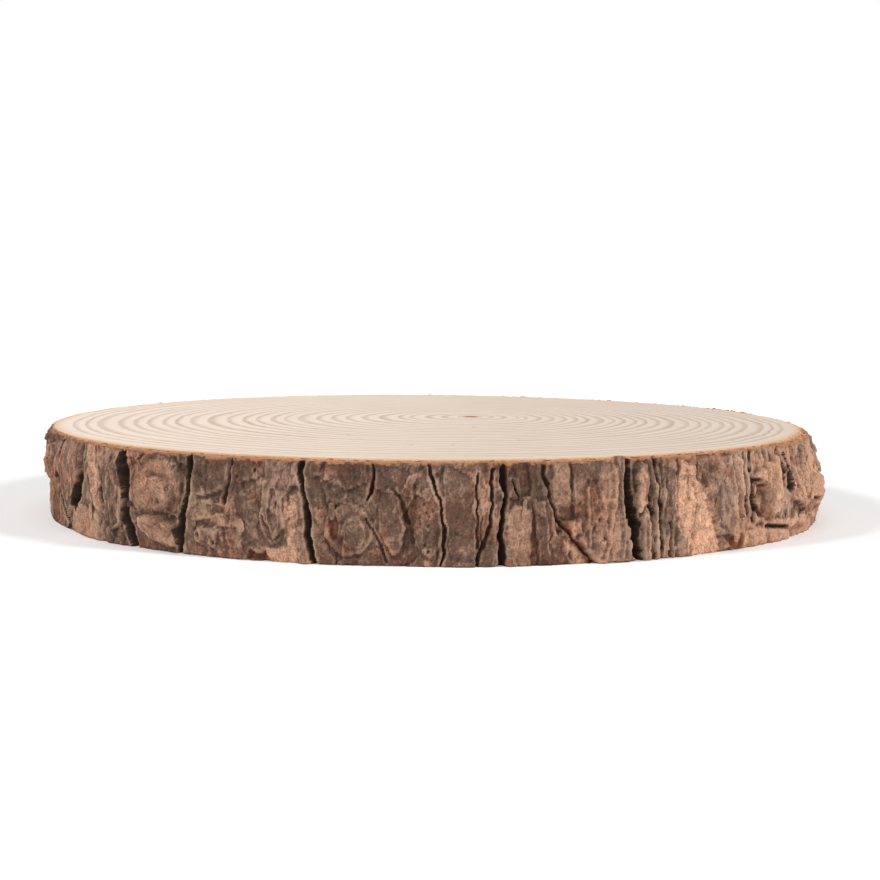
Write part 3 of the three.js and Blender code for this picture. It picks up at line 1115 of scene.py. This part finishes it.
def flakes_tree():
    """Scatters small lifted bark flakes over the bark's side, clear of furrows, hollows and both rims."""
    inputs = [("Spacing", "NodeSocketFloat", 0.003), ("Density", "NodeSocketFloat", 60000.0),
              ("Smallest", "NodeSocketVector", (0.0007, 0.0012, 0.0002)),
              ("Largest", "NodeSocketVector", (0.0024, 0.0046, 0.0004)), ("Lift", "NodeSocketFloat", 0.00002),
              ("Tilt", "NodeSocketFloat", 0.1), ("Raggedness", "NodeSocketFloat", 0.5),
              ("Seed", "NodeSocketInt", 4), ("Material", "NodeSocketMaterial", None)]
    tree, given, end = new_geometry_tree("Bark Flakes", inputs)
    clear = []
    for name, limit in (("furrow", 0.12), ("hollow", 0.25), ("inner", 0.01)):
        stored = add_node(tree, "GeometryNodeInputNamedAttribute", {"Name": name}, data_type="FLOAT")
        clear.append(calculate(tree, "LESS_THAN", stored.outputs["Attribute"], limit))
    where = tree.nodes.new("GeometryNodeInputPosition").outputs["Position"]
    height = add_node(tree, "ShaderNodeSeparateXYZ", {0: where}).outputs["Z"]
    clear.append(calculate(tree, "LESS_THAN", height, (THICKNESS - FLAKE_HEADROOM) * MM))
    clear.append(calculate(tree, "GREATER_THAN", height, FLAKE_FOOT * MM))
    away = vector_sum(tree, "SUBTRACT", where, (AXIS_X * MM, AXIS_Y * MM, 0.0))
    outward = vector_sum(tree, "NORMALIZE", vector_sum(tree, "MULTIPLY", away, (1.0, 1.0, 0.0)))
    sockets = {0: tree.nodes.new("GeometryNodeInputNormal").outputs[0], 1: outward}
    facing = add_node(tree, "ShaderNodeVectorMath", sockets, operation="DOT_PRODUCT").outputs["Value"]
    clear.append(calculate(tree, "GREATER_THAN", facing, FLAKE_FACING))
    allowed = clear[0]
    for other in clear[1:]:
        allowed = calculate(tree, "MULTIPLY", allowed, other)
    sockets = {"Mesh": given["Geometry"], "Selection": allowed, "Distance Min": given["Spacing"],
               "Density Max": given["Density"], "Seed": given["Seed"]}
    spread = add_node(tree, "GeometryNodeDistributePointsOnFaces", sockets, distribute_method="POISSON")
    lift = scaled(tree, spread.outputs["Normal"], given["Lift"])
    sockets = {"Geometry": spread.outputs["Points"], "Offset": lift}
    points = add_node(tree, "GeometryNodeSetPosition", sockets).outputs["Geometry"]
    laid = add_node(tree, "FunctionNodeAlignRotationToVector", {"Vector": outward}, axis="Z")
    sockets = {"Rotation": laid.outputs["Rotation"], "Vector": (0.0, 0.0, 1.0)}
    upright = add_node(tree, "FunctionNodeAlignRotationToVector", sockets, axis="Y", pivot_axis="Z")
    tilt = given["Tilt"]
    back = calculate(tree, "MULTIPLY", tilt, -1.0)
    low, high = vector_of(tree, back, back, -0.5), vector_of(tree, tilt, tilt, 0.5)
    rotation = turned_at_random(tree, upright.outputs["Rotation"], low, high, given["Seed"])
    end_in_plates(tree, given, end, points, rotation, (given["Smallest"], given["Largest"]), 11)
    return tree


def splinters_tree():
    """Lays short splinters of inner bark along a line, at random slants to it."""
    inputs = [("Count", "NodeSocketInt", 500), ("Shortest", "NodeSocketVector", (0.0005, 0.0002, 0.0001)),
              ("Longest", "NodeSocketVector", (0.0022, 0.0006, 0.0003)), ("Slant", "NodeSocketFloat", 0.4),
              ("Spread", "NodeSocketFloat", 0.0005), ("Raggedness", "NodeSocketFloat", 0.5),
              ("Seed", "NodeSocketInt", 9), ("Material", "NodeSocketMaterial", None)]
    tree, given, end = new_geometry_tree("Rim Splinters", inputs)
    line = add_node(tree, "GeometryNodeMeshToCurve", {"Mesh": given["Geometry"]}).outputs["Curve"]
    sockets = {"Curve": line, "Count": given["Count"]}
    line = add_node(tree, "GeometryNodeResampleCurve", sockets).outputs["Curve"]
    spread = given["Spread"]
    back = calculate(tree, "MULTIPLY", spread, -1.0)
    low = vector_of(tree, back, back, calculate(tree, "MULTIPLY", spread, -0.3))
    offset = random_between(tree, low, vector_of(tree, spread, spread, 0.0), given["Seed"], "FLOAT_VECTOR")
    sockets = {"Geometry": line, "Offset": offset}
    points = add_node(tree, "GeometryNodeSetPosition", sockets).outputs["Geometry"]
    along = tree.nodes.new("GeometryNodeInputTangent").outputs["Tangent"]
    aligned = add_node(tree, "FunctionNodeAlignRotationToVector", {"Vector": along}, axis="X", pivot_axis="Z")
    slant = given["Slant"]
    high = vector_of(tree, 3.0, calculate(tree, "MULTIPLY", slant, 0.4), slant)
    low = scaled(tree, high, -1.0)
    rotation = turned_at_random(tree, aligned.outputs["Rotation"], low, high, 21)
    end_in_plates(tree, given, end, points, rotation, (given["Shortest"], given["Longest"]), 22)
    return tree


def grown(name, source, tree, values):
    """A new object with what a geometry tree makes of a mesh, fixed as plain geometry."""
    piece = bpy.data.objects.new(name, source)
    bpy.context.scene.collection.objects.link(piece)
    modifier = piece.modifiers.new(name, "NODES")
    modifier.node_group = tree
    for item in tree.interface.items_tree:
        if item.in_out == "INPUT" and item.name in values:
            modifier[item.identifier] = values[item.name]
    depsgraph = bpy.context.evaluated_depsgraph_get()
    made = bpy.data.meshes.new_from_object(piece.evaluated_get(depsgraph), preserve_all_data_layers=True,
                                           depsgraph=depsgraph)
    piece.modifiers.clear()
    piece.data = made
    return piece


def rim_line(bark):
    """A closed line of points along the middle of the bark's shoulder."""
    columns = bpy.context.scene.slice_sizes.columns
    first = RIM_LINE_ROW * columns
    points = [vertex.co for vertex in bark.data.vertices[first:first + columns]]
    mesh = bpy.data.meshes.new("rim_line")
    mesh.from_pydata(points, [(i, (i + 1) % columns) for i in range(columns)], [])
    return mesh


# ---------------------------------------------------------------------------------------------------
# Materials


def bark_material(colours):
    """Grey-brown flaky bark with dark furrows, tan and rusty patches and an orange-brown inner ring. Painted
    shade darkens its furrows, hollows and the foot of steps, and painted highlights lighten raised edges.
    """
    material, tree, shader, where = new_material("flaky_bark", 0.15)
    upright = place_group(tree, grain_group(), Vector=where, Stretch=(1.0, 1.0, 0.35), Scale=520.0)
    scales = place_group(tree, scale_group(), Vector=where, Scale=330.0, Warp=0.003)
    mottle = place_group(tree, mottle_group(), Vector=where, Scale=70.0, Contrast=1.7).outputs["Value"]
    hollow, edge = attribute(tree, "hollow"), attribute(tree, "edge")
    tan_here, rust_here = attribute(tree, "tan"), attribute(tree, "rust")
    # The stored tone carries random plate tones and the painted side light
    tone = calculate(tree, "MULTIPLY_ADD", attribute(tree, "tone"), 0.2, mottle)
    tone = added_about_half(tree, tone, scales.outputs["Tone"], 0.24)
    tone = added_about_half(tree, tone, upright.outputs["Flecks"], 0.26)
    # Painted highlight and shade: raised edges make the tone paler, the feet of steps darker
    tone = calculate(tree, "MULTIPLY_ADD", edge, 0.16, tone)
    speckle = calculate(tree, "SUBTRACT", noise(tree, where, 2400.0, 3.0, 0.7), 0.5)
    tone = calculate(tree, "MULTIPLY_ADD", speckle, calculate(tree, "MULTIPLY_ADD", tan_here, 0.4, 0.7), tone)
    stops = shades(colours.bark, ((0.05, 0.45), (0.45, 1.0)))
    colour = ramped(tree, tone, stops + [(0.95, opaque(colours.pale_bark_and_highlight))])
    warm = remapped(tree, noise(tree, where, 55.0, 3.0), 0.44, 0.62, 0.0, 0.75)
    colour = mixed(tree, warm, colour, mixed(tree, 1.0, colour, opaque(colours.bark_warm), "MULTIPLY"))
    grain = noise(tree, where, 800.0, 4.0)
    # Painted highlight: raised edges are mixed towards the pale bark colour
    edge_highlight = remapped(tree, edge, 0.3, 1.0, 0.0, 0.6)
    crest = calculate(tree, "MULTIPLY", edge_highlight, remapped(tree, mottle, 0.3, 0.75))
    colour = mixed(tree, crest, colour, opaque(colours.pale_bark_and_highlight))
    speckled = calculate(tree, "MULTIPLY_ADD", speckle, 1.2, grain)
    tan = ramped(tree, speckled, shades(colours.tan, ((0.25, 0.5), (0.5, 0.95), (0.75, 1.3))))
    tan_share = calculate(tree, "MULTIPLY", tan_here, remapped(tree, mottle, 0.1, 0.6, 0.55, 1.0))
    colour = mixed(tree, tan_share, colour, tan)
    rust = ramped(tree, grain, shades(colours.rust, ((0.3, 0.4), (0.55, 1.0), (0.75, 1.6))))
    rust_share = calculate(tree, "MULTIPLY", rust_here, remapped(tree, mottle, 0.2, 0.6, 0.5, 1.0))
    colour = mixed(tree, rust_share, colour, rust)
    # Painted shade at the foot of steps and in hollows
    crease_shade = remapped(tree, edge, -0.3, -1.0, 0.0, 0.3)
    hollow_and_crease_shade = calculate(tree, "MAXIMUM", remapped(tree, hollow, 0.15, 0.95, 0.0, 0.5), crease_shade)
    # Painted shade: the colour is darkened towards the furrow colour in furrows and pits, on top of the
    # hollow and crease shade
    depth = remapped(tree, attribute(tree, "furrow"), 0.12, 0.85, 0.0, 0.9)
    shadow = calculate(tree, "MAXIMUM", hollow_and_crease_shade, depth)
    colour = mixed(tree, shadow, colour, opaque(colours.furrow))
    torn = calculate(tree, "MULTIPLY", calculate(tree, "SUBTRACT", noise(tree, where, 1100.0, 4.0), 0.5), 0.6)
    inner = attribute(tree, "inner")
    torn = calculate(tree, "MULTIPLY", torn, remapped(tree, inner, 0.0, 0.15))
    inner = calculate(tree, "ADD", inner, torn)
    stops = shades(colours.inner_bark, ((0.05, 0.5), (0.3, 0.95), (0.65, 1.15)))
    ring = ramped(tree, inner, stops + [(1.0, opaque(colours.cambium))])
    colour = mixed(tree, remapped(tree, inner, 0.1, 0.2), colour, ring)
    roughness = remapped(tree, upright.outputs["Height"], 0.3, 0.7, 0.8, 0.96)
    height = calculate(tree, "MULTIPLY_ADD", scales.outputs["Height"], 0.5, upright.outputs["Height"])
    height = calculate(tree, "MULTIPLY_ADD", noise(tree, where, 1700.0, 2.0), 0.3, height)
    finish_material(tree, shader, colour, roughness, height, 0.0006)
    return material


def wood_material(colours, sizes):
    """Pale sawn softwood with soft growth rings, resin specks, an orange pith and faint saw marks."""
    material, tree, shader, where = new_material("pale_wood", 0.3)
    share = attribute(tree, "ring")
    wobble = calculate(tree, "SUBTRACT", noise(tree, where, 26.0, 4.0, 0.5), 0.5)
    share = calculate(tree, "MULTIPLY_ADD", wobble, 0.022, share)
    waver = calculate(tree, "SUBTRACT", noise(tree, where, 240.0, 4.0, 0.65), 0.5)
    share = calculate(tree, "MULTIPLY_ADD", waver, 0.012, share)
    sockets = {"W": share, "Scale": 8.0, "Detail": 1.0}
    drift = add_node(tree, "ShaderNodeTexNoise", sockets, noise_dimensions="1D").outputs["Fac"]
    count = calculate(tree, "MULTIPLY_ADD", drift, 1.5, calculate(tree, "MULTIPLY", share, sizes.rings))
    phase = calculate(tree, "FRACT", count)
    late = calculate(tree, "MINIMUM", remapped(tree, phase, 0.35, 0.8), remapped(tree, phase, 1.0, 0.84))
    number = calculate(tree, "FLOOR", count)
    each = add_node(tree, "ShaderNodeTexWhiteNoise", {"W": number}, noise_dimensions="1D")
    strength = remapped(tree, each.outputs["Value"], 0.0, 1.0, 0.7, 1.0)
    patchy = remapped(tree, noise(tree, where, 40.0, 3.0), 0.3, 0.7, 0.7, 1.0)
    late = calculate(tree, "MULTIPLY", late, calculate(tree, "MULTIPLY", strength, patchy))
    slow = place_group(tree, mottle_group(), Vector=where, Scale=14.0, Contrast=2.0).outputs["Value"]
    early = mixed(tree, slow, opaque(colours.wood), opaque(colours.wood_pink))
    colour = mixed(tree, late, early, opaque(colours.latewood))
    across = add_node(tree, "ShaderNodeSeparateXYZ", {0: where}).outputs["X"]
    colour = dulled(tree, colour, remapped(tree, across, -0.09, 0.09, 1.0, 0.83))
    saw = place_group(tree, grain_group(), Vector=where, Stretch=(0.12, 1.0, 1.0), Scale=520.0)
    saw_tone = remapped(tree, saw.outputs["Height"], 0.35, 0.65, 0.93, 1.0)
    colour = dulled(tree, colour, saw_tone)
    cells = add_node(tree, "ShaderNodeTexVoronoi", {"Vector": where, "Scale": 330.0})
    speck = remapped(tree, cells.outputs["Distance"], 0.26, 0.12)
    chosen = add_node(tree, "ShaderNodeSeparateColor", {0: cells.outputs["Color"]}).outputs[0]
    speck = calculate(tree, "MULTIPLY", speck, remapped(tree, chosen, 0.9, 0.95))
    banded = remapped(tree, each.outputs["Value"], 0.55, 0.6)
    speck = calculate(tree, "MULTIPLY", speck, calculate(tree, "MULTIPLY", banded, 0.6))
    colour = mixed(tree, speck, colour, shaded(colours.inner_bark, 0.7))
    pith = remapped(tree, calculate(tree, "MULTIPLY_ADD", wobble, 0.05, attribute(tree, "ring")), 0.03, 0.012)
    colour = mixed(tree, pith, colour, shaded(colours.inner_bark, 0.8))
    near = calculate(tree, "MULTIPLY_ADD", wobble, 3.0, attribute(tree, "from_edge"))
    colour = mixed(tree, remapped(tree, near, 5.0, 0.5, 0.0, 0.4), colour, opaque(colours.cambium))
    colour = mixed(tree, remapped(tree, near, 0.9, 0.3, 0.0, 0.8), colour, opaque(colours.inner_bark))
    roughness = remapped(tree, saw.outputs["Height"], 0.3, 0.7, 0.62, 0.8)
    height = calculate(tree, "MULTIPLY_ADD", late, 0.25, saw.outputs["Height"])
    finish_material(tree, shader, colour, roughness, height, 0.00012)
    return material


def splinter_material(colours):
    """Orange-brown torn inner bark."""
    material, tree, shader, where = new_material("torn_inner_bark", 0.15)
    grain = noise(tree, where, 900.0, 3.0)
    stops = shades(colours.inner_bark, ((0.3, 0.45), (0.5, 0.9)))
    colour = ramped(tree, grain, stops + [(0.7, opaque(colours.cambium))])
    finish_material(tree, shader, colour, remapped(tree, grain, 0.3, 0.7, 0.8, 0.95), grain, 0.0002)
    return material


def floor_material(colours):
    """Plain matte pale floor."""
    material, _, shader, _ = new_material("pale_floor", 0.2)
    shader.inputs["Base Color"].default_value = opaque(colours.floor)
    shader.inputs["Roughness"].default_value = 0.9
    return material


def dress(piece, material):
    """Gives a finished piece its material, hangs it on the body's empty and hides the CAD part that it stands
    for.
    """
    piece.data.materials.clear()
    piece.data.materials.append(material)
    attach(piece, BODY)
    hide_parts(NODE)


# ---------------------------------------------------------------------------------------------------
# Settings


def linear(red, green, blue):
    """A colour picked as 0 to 255 on screen, as the linear numbers that shaders use."""
    return tuple(((part / 255 + 0.055) / 1.055) ** 2.4 for part in (red, green, blue))


def picked(name, description, red, green, blue):
    """A colour setting whose start is picked as 0 to 255 on screen."""
    return FloatVectorProperty(name=name, description=description, default=linear(red, green, blue),
                               subtype="COLOR", min=0, max=1)


class SliceSizes(bpy.types.PropertyGroup):
    """Sizes of the slice that the frame doesn't fix."""

    swell: FloatProperty(name="Bark swell", description="How far the bark bulges beyond its rim",
                         default=0.0014, min=0, max=0.006, subtype="DISTANCE", unit="LENGTH")
    roughness: FloatProperty(name="Bark roughness", description="Strength of the bark's fine relief",
                             default=1.0, min=0, max=3, subtype="FACTOR")
    columns: IntProperty(name="Columns round the bark", description="Points in each row of the bark",
                         default=1560, min=200, max=1600)
    pith_right: FloatProperty(name="Pith to the right", description="Pith's place along X in the frame",
                              default=0.012, subtype="DISTANCE", unit="LENGTH")
    pith_back: FloatProperty(name="Pith to the back", description="Pith's place along Y in the frame",
                             default=0.013, subtype="DISTANCE", unit="LENGTH")
    flake_spacing: FloatProperty(name="Flake spacing", description="Least distance between lifted flakes",
                                 default=0.003, min=0.001, subtype="DISTANCE", unit="LENGTH")
    splinters: IntProperty(name="Splinters", description="Splinters along the upper rim", default=520, min=0)
    seed: IntProperty(name="Seed", description="Start of the random choices for flakes and splinters",
                      default=4)
    rings: FloatProperty(name="Growth rings", description="Growth rings from pith to bark",
                         default=27, min=3, max=80)


class SliceColours(bpy.types.PropertyGroup):
    """Colours of the bark, the wood and the stage."""

    bark: picked("Bark", "Middle grey-brown of the bark", 106, 82, 68)
    # Pale bark for light flakes, also the painted highlight on raised edges
    pale_bark_and_highlight: picked("Bark crests", "Worn edges and light flakes", 176, 143, 121)
    bark_warm: picked("Warm tint", "Multiplies the colour of reddish stretches", 255, 222, 208)
    # Painted shade colour for furrows, cracks, hollows and the foot of steps, partly the furrows' own dark
    # brown
    furrow: picked("Furrows", "Depths of furrows and cracks", 42, 29, 23)
    tan: picked("Tan layer", "Paler bark layer where the surface has come off", 212, 164, 134)
    rust: picked("Rusty patches", "Fresh reddish breaks in the bark", 128, 72, 48)
    inner_bark: picked("Inner bark", "Orange-brown ring round the wood", 170, 122, 90)
    cambium: picked("Edge of the wood", "Yellowish outermost wood", 224, 184, 146)
    wood: picked("Wood", "Cream early wood", 239, 223, 206)
    wood_pink: picked("Pinkish wood", "Pinkish stretches of early wood", 236, 217, 201)
    latewood: picked("Latewood", "Darker line that closes each ring", 202, 177, 158)
    floor: picked("Floor", "Pale studio floor", 252, 252, 252)


# ---------------------------------------------------------------------------------------------------
# Operators


class WOODSLICE_OT_bark(bpy.types.Operator):
    """Build the ring of bark"""

    bl_idname = "woodslice.bark"
    bl_label = "Bark"

    def execute(self, context):
        bark = bark_mesh(context.scene.slice_sizes)
        dress(bark, bark_material(context.scene.slice_colours))
        return {"FINISHED"}


class WOODSLICE_OT_flakes(bpy.types.Operator):
    """Scatter lifted flakes over the bark"""

    bl_idname = "woodslice.flakes"
    bl_label = "Bark flakes"

    def execute(self, context):
        sizes = context.scene.slice_sizes
        material = bpy.data.materials["flaky_bark"]
        values = {"Spacing": sizes.flake_spacing, "Seed": sizes.seed, "Material": material}
        flakes = grown("bark_flakes", bpy.data.objects["bark"].data, flakes_tree(), values)
        dress(flakes, material)
        return {"FINISHED"}


class WOODSLICE_OT_splinters(bpy.types.Operator):
    """Lay splinters of inner bark along the upper rim"""

    bl_idname = "woodslice.splinters"
    bl_label = "Rim splinters"

    def execute(self, context):
        sizes = context.scene.slice_sizes
        material = splinter_material(context.scene.slice_colours)
        values = {"Count": sizes.splinters, "Seed": sizes.seed, "Material": material}
        line = rim_line(bpy.data.objects["bark"])
        splinters = grown("rim_splinters", line, splinters_tree(), values)
        bpy.data.meshes.remove(line)
        dress(splinters, material)
        return {"FINISHED"}


class WOODSLICE_OT_wood(bpy.types.Operator):
    """Build the pale sawn disc"""

    bl_idname = "woodslice.wood"
    bl_label = "Sawn wood"

    def execute(self, context):
        wood = wood_mesh(context.scene.slice_sizes)
        dress(wood, wood_material(context.scene.slice_colours, context.scene.slice_sizes))
        return {"FINISHED"}


FLOOR_HALF = 6.0            # metres from the middle of the floor to its sides
VIEW_DISTANCE = 0.4757      # from the middle of the upper face to the camera
VIEW_ELEVATION = 5.02       # degrees above the upper face
PAN_RIGHT = 0.578           # degrees that the camera turns away from the middle of the upper face
TILT_DOWN = 0.578           # and below it
LENS = 76.64                # millimetres
WORLD_LIGHT = 0.3           # how strongly the world lights the slice
SEEN_WORLD = 1.0            # how bright it looks to the camera


def soft_sun(name, turn, climb, spread, strength, shadow=True):
    """A wide, soft sun that shines from a bearing in degrees, that many degrees above the floor."""
    data = bpy.data.lights.new(name, "SUN")
    data.angle = math.radians(spread)
    data.energy = strength
    data.use_shadow = shadow
    light = bpy.data.objects.new(name, data)
    light.rotation_euler = (math.radians(90 - climb), 0, math.radians(turn))
    bpy.context.scene.collection.objects.link(light)


def studio_world():
    """An even pale world that lights softly and looks white behind the floor."""
    world = bpy.data.worlds.new("studio")
    world.use_nodes = True
    tree = world.node_tree
    seen = tree.nodes.new("ShaderNodeLightPath").outputs["Is Camera Ray"]
    strength = calculate(tree, "MULTIPLY_ADD", seen, SEEN_WORLD - WORLD_LIGHT, WORLD_LIGHT)
    backdrop = tree.nodes["Background"]
    backdrop.inputs["Color"].default_value = (1, 1, 1, 1)
    tree.links.new(strength, backdrop.inputs["Strength"])
    return world


class WOODSLICE_OT_stage(bpy.types.Operator):
    """Set up the floor, the lights and the camera"""

    bl_idname = "woodslice.stage"
    bl_label = "Stage"

    def execute(self, context):
        scene = context.scene
        half = FLOOR_HALF / MM
        floor = mesh_object("floor", [(-half, -half, 0), (half, -half, 0), (half, half, 0), (-half, half, 0)],
                            [(0, 1, 2, 3)], smooth=False)
        floor.data.materials.append(floor_material(scene.slice_colours))
        soft_sun("top", 0, 80, 50, 0.5)
        soft_sun("left", -64, 34, 14, 1.7)
        soft_sun("right", 64, 30, 14, 1.9)
        soft_sun("left_fill", -76, 20, 20, 0.4, shadow=False)
        soft_sun("right_fill", 80, 20, 20, 0.75, shadow=False)
        scene.world = studio_world()
        scene.view_settings.view_transform = "Standard"
        camera = bpy.data.objects.new("camera", bpy.data.cameras.new("camera"))
        camera.data.lens = LENS
        camera.data.clip_start = 0.01
        elevation = math.radians(VIEW_ELEVATION)
        camera.location = (AXIS_X * MM, AXIS_Y * MM - VIEW_DISTANCE * math.cos(elevation),
                           THICKNESS * MM + VIEW_DISTANCE * math.sin(elevation))
        tilt = math.radians(90 - VIEW_ELEVATION - TILT_DOWN)
        camera.rotation_euler = (tilt, 0, -math.radians(PAN_RIGHT))
        scene.collection.objects.link(camera)
        scene.camera = camera
        return {"FINISHED"}


class WOODSLICE_PT_panel(bpy.types.Panel):
    """Lists the pieces and their settings"""

    bl_idname = "WOODSLICE_PT_panel"
    bl_label = "Wood Slice"
    bl_space_type = "VIEW_3D"
    bl_region_type = "UI"
    bl_category = "Wood Slice"

    def draw(self, context):
        layout = self.layout
        for settings in (context.scene.slice_sizes, context.scene.slice_colours):
            box = layout.box()
            for name in settings.__annotations__:
                box.prop(settings, name)
        for operator in PIECES:
            layout.operator(operator.bl_idname)


PIECES = (WOODSLICE_OT_bark, WOODSLICE_OT_flakes, WOODSLICE_OT_splinters, WOODSLICE_OT_wood,
          WOODSLICE_OT_stage)
CLASSES = (SliceSizes, SliceColours, *PIECES, WOODSLICE_PT_panel)


def register():
    """Registers the classes and hangs the settings on the scene."""
    for made in CLASSES:
        bpy.utils.register_class(made)
    bpy.types.Scene.slice_sizes = PointerProperty(type=SliceSizes)
    bpy.types.Scene.slice_colours = PointerProperty(type=SliceColours)


def unregister():
    """Takes the settings and the classes away again."""
    del bpy.types.Scene.slice_colours
    del bpy.types.Scene.slice_sizes
    for made in reversed(CLASSES):
        bpy.utils.unregister_class(made)


def main():
    """Builds the whole slice and its stage."""
    register()
    bpy.ops.woodslice.bark()
    bpy.ops.woodslice.flakes()
    bpy.ops.woodslice.splinters()
    bpy.ops.woodslice.wood()
    bpy.ops.woodslice.stage()


if __name__ == "__main__":
    main()
